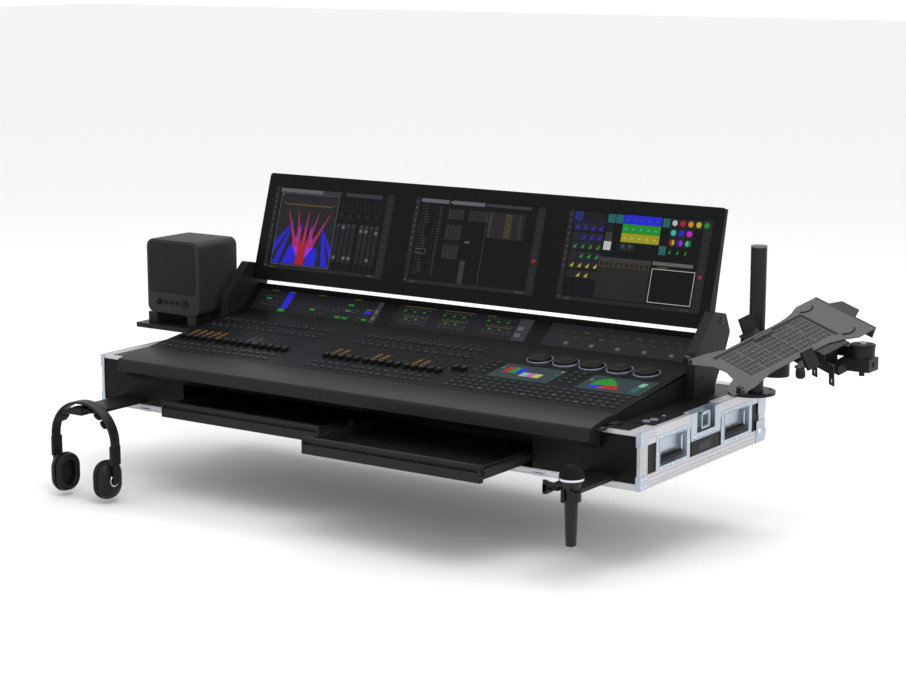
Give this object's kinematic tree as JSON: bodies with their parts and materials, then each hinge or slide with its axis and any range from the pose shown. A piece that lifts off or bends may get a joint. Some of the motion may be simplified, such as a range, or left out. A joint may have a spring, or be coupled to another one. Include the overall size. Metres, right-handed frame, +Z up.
{
  "type": "lighting control desk",
  "caption": "Stage lighting control desk with a hinged monitor wing on a flight-case base, with drawers, loudspeaker, laptop tray, headphones and microphone.",
  "frame": {"origin": "middle of the flight-case base's underside", "axes": "+X to the operator's right, +Y away from the operator, +Z up out of the base"},
  "size_m": [1.939, 0.7689, 0.6904],
  "materials": {
    "anodised": "satin anodised with ribs",
    "board_black": "phenolic-faced plywood",
    "zinc": "bright zinc plate",
    "rivet": "bright zinc",
    "rail_grey": "dark zinc rail",
    "drawer_black": "powder coat",
    "rubber_black": "moulded grip",
    "console_black": "fine-texture powder coat",
    "panel_black": "satin painted panel",
    "palm_grey": "soft-touch moulded",
    "cheek_grey": "satin painted casting",
    "display": "backlit display behind cover glass",
    "circuit_green": "solder mask",
    "supply_steel": "sheet steel",
    "key_grey": "moulded keycap",
    "cap_black": "moulded fader cap",
    "knob_black": "moulded knob",
    "speaker_black": "moulded cabinet",
    "arm_black": "satin powder coat",
    "tray_grey": "textured powder coat",
    "phones_black": "moulded plastic",
    "cushion_black": "padded leatherette",
    "mic_black": "satin lacquer"
  },
  "bodies": {
    "case": {"edge_extrusions": "anodised", "case_shell": "board_black", "front_fascia": "board_black", "deck_board": "board_black", "corner_fittings": "zinc", "handle_dishes": "zinc", "latch_dishes": "zinc", "case_rivets": "rivet", "drawer_runners": "rail_grey", "console_chassis": "console_black", "rear_housing": "console_black", "surface_panel": "panel_black", "palm_rests": "palm_grey", "side_cheeks": "cheek_grey", "strip_panel": "panel_black", "strip_displays": "display", "touch_screens": "display", "circuit_board": "circuit_green", "power_supply": "supply_steel", "speaker_cabinet": "speaker_black", "speaker_baffle": "speaker_black", "speaker_shelf": "arm_black", "pole_base": "arm_black", "pole": "arm_black", "pole_clamp": "arm_black", "headphone_bracket": "arm_black", "microphone_bracket": "arm_black"},
    "drawer_left": {"drawer_left": "drawer_black"},
    "drawer_right": {"drawer_right": "drawer_black"},
    "monitor_wing": {"wing_frame": "panel_black", "wing_rear_cover": "console_black", "wing_displays": "display"},
    "playback_keys": {"playback_keys": "key_grey"},
    "command_keys": {"command_keys": "key_grey"},
    "faders_left": {"faders_left": "cap_black"},
    "faders_centre": {"faders_centre": "cap_black"},
    "faders_master": {"faders_master": "cap_black"},
    "speaker_knob": {"speaker_knob": "knob_black"},
    "arm_lower": {"arm_lower": "arm_black"},
    "arm_upper": {"arm_upper": "arm_black"},
    "laptop_tray": {"tray_head": "arm_black", "laptop_tray": "tray_grey"},
    "tray_clamp_left": {"tray_clamp_left": "arm_black"},
    "tray_clamp_right": {"tray_clamp_right": "arm_black"},
    "headphones": {"headband": "phones_black", "headband_pad": "cushion_black"},
    "ear_cup_left": {"ear_cup_left": "phones_black", "ear_cushion_left": "cushion_black"},
    "ear_cup_right": {"ear_cup_right": "phones_black", "ear_cushion_right": "cushion_black"},
    "microphone": {"microphone": "mic_black"},
    "encoder_1": {"encoder_knob_1": "knob_black"},
    "encoder_2": {"encoder_knob_2": "knob_black"},
    "encoder_3": {"encoder_knob_3": "knob_black"},
    "encoder_4": {"encoder_knob_4": "knob_black"},
    "encoder_5": {"encoder_knob_5": "knob_black"},
    "handle_left_front": {"handle_left_front": "rubber_black"},
    "handle_left_rear": {"handle_left_rear": "rubber_black"},
    "handle_right_front": {"handle_right_front": "rubber_black"},
    "handle_right_rear": {"handle_right_rear": "rubber_black"}
  },
  "joints": [
    {"name": "wing_tilt", "type": "hinge", "parent": "case", "child": "monitor_wing", "pos_m": [0, 0.1969, 0.2736], "axis": [1, 0, 0], "range_deg": [-15, 100]},
    {"name": "drawer_left_slide", "type": "slide", "parent": "case", "child": "drawer_left", "axis": [0, -1, 0], "range_m": [-0.081, 0.15]},
    {"name": "drawer_right_slide", "type": "slide", "parent": "case", "child": "drawer_right", "axis": [0, -1, 0], "range_m": [-0.18, 0.05]},
    {"name": "handle_left_front_lift", "type": "hinge", "parent": "case", "child": "handle_left_front", "pos_m": [-0.732, -0.142, 0.082], "axis": [0, 1, 0], "range_deg": [0, 90], "stiffness_Nm_per_rad": 0.05, "springref_deg": -22.92},
    {"name": "handle_left_rear_lift", "type": "hinge", "parent": "case", "child": "handle_left_rear", "pos_m": [-0.732, 0.142, 0.082], "axis": [0, 1, 0], "range_deg": [0, 90], "stiffness_Nm_per_rad": 0.05, "springref_deg": -22.92},
    {"name": "handle_right_front_lift", "type": "hinge", "parent": "case", "child": "handle_right_front", "pos_m": [0.732, -0.142, 0.082], "axis": [0, -1, 0], "range_deg": [0, 90], "stiffness_Nm_per_rad": 0.05, "springref_deg": -22.92},
    {"name": "handle_right_rear_lift", "type": "hinge", "parent": "case", "child": "handle_right_rear", "pos_m": [0.732, 0.142, 0.082], "axis": [0, -1, 0], "range_deg": [0, 90], "stiffness_Nm_per_rad": 0.05, "springref_deg": -22.92},
    {"name": "playback_keys_press", "type": "slide", "parent": "case", "child": "playback_keys", "axis": [0, 0.1236, -0.9923], "range_m": [0, 0.002], "stiffness_N_per_m": 400, "springref_m": -0.002},
    {"name": "command_keys_press", "type": "slide", "parent": "case", "child": "command_keys", "axis": [0, 0.1236, -0.9923], "range_m": [0, 0.002], "stiffness_N_per_m": 400, "springref_m": -0.002},
    {"name": "faders_left_slide", "type": "slide", "parent": "case", "child": "faders_left", "axis": [0, 0.9923, 0.1236], "range_m": [-0.002, 0.06]},
    {"name": "faders_centre_slide", "type": "slide", "parent": "case", "child": "faders_centre", "axis": [0, 0.9923, 0.1236], "range_m": [-0.002, 0.06]},
    {"name": "faders_master_slide", "type": "slide", "parent": "case", "child": "faders_master", "axis": [0, 0.9923, 0.1236], "range_m": [-0.004, 0.07]},
    {"name": "encoder_1_turn", "type": "hinge", "parent": "case", "child": "encoder_1", "pos_m": [0.3, 0.03969, 0.17094], "axis": [0, -0.1236, 0.9923], "continuous": true},
    {"name": "encoder_2_turn", "type": "hinge", "parent": "case", "child": "encoder_2", "pos_m": [0.368, 0.03969, 0.17094], "axis": [0, -0.1236, 0.9923], "continuous": true},
    {"name": "encoder_3_turn", "type": "hinge", "parent": "case", "child": "encoder_3", "pos_m": [0.436, 0.03969, 0.17094], "axis": [0, -0.1236, 0.9923], "continuous": true},
    {"name": "encoder_4_turn", "type": "hinge", "parent": "case", "child": "encoder_4", "pos_m": [0.505, 0.03969, 0.17094], "axis": [0, -0.1236, 0.9923], "continuous": true},
    {"name": "encoder_5_turn", "type": "hinge", "parent": "case", "child": "encoder_5", "pos_m": [0.573, 0.03969, 0.17094], "axis": [0, -0.1236, 0.9923], "continuous": true},
    {"name": "speaker_volume_turn", "type": "hinge", "parent": "case", "child": "speaker_knob", "pos_m": [-0.823, 0.021, 0.2], "axis": [0, -1, 0], "range_deg": [-150, 150]},
    {"name": "arm_swivel", "type": "hinge", "parent": "case", "child": "arm_lower", "pos_m": [0.812, 0.178, 0.226], "axis": [0, 0, 1], "range_deg": [-8, 60]},
    {"name": "elbow_swivel", "type": "hinge", "parent": "arm_lower", "child": "arm_upper", "pos_m": [1.022, 0.152, 0.25], "axis": [0, 0, 1], "range_deg": [0, 45]},
    {"name": "tray_tilt", "type": "hinge", "parent": "arm_upper", "child": "laptop_tray", "pos_m": [0.95285, 0.12631, 0.23004], "axis": [0.9206, -0.3158, -0.2298], "range_deg": [-5, 15]},
    {"name": "tray_clamp_left_slide", "type": "slide", "parent": "laptop_tray", "child": "tray_clamp_left", "axis": [-0.9206, 0.3158, 0.2298], "range_m": [0, 0.02]},
    {"name": "tray_clamp_right_slide", "type": "slide", "parent": "laptop_tray", "child": "tray_clamp_right", "axis": [0.9206, -0.3158, -0.2298], "range_m": [0, 0.02]},
    {"name": "headphones_lift", "type": "slide", "parent": "case", "child": "headphones", "axis": [0, 0, 1], "range_m": [0, 0.06]},
    {"name": "ear_cup_left_turn", "type": "hinge", "parent": "headphones", "child": "ear_cup_left", "pos_m": [-0.719, -0.442, -0.129], "axis": [1, 0, 0], "range_deg": [-20, 20]},
    {"name": "ear_cup_right_turn", "type": "hinge", "parent": "headphones", "child": "ear_cup_right", "pos_m": [-0.563, -0.442, -0.129], "axis": [1, 0, 0], "range_deg": [-20, 20]},
    {"name": "microphone_lift", "type": "slide", "parent": "case", "child": "microphone", "axis": [0, 0, 1], "range_m": [0, 0.12]}
  ]
}
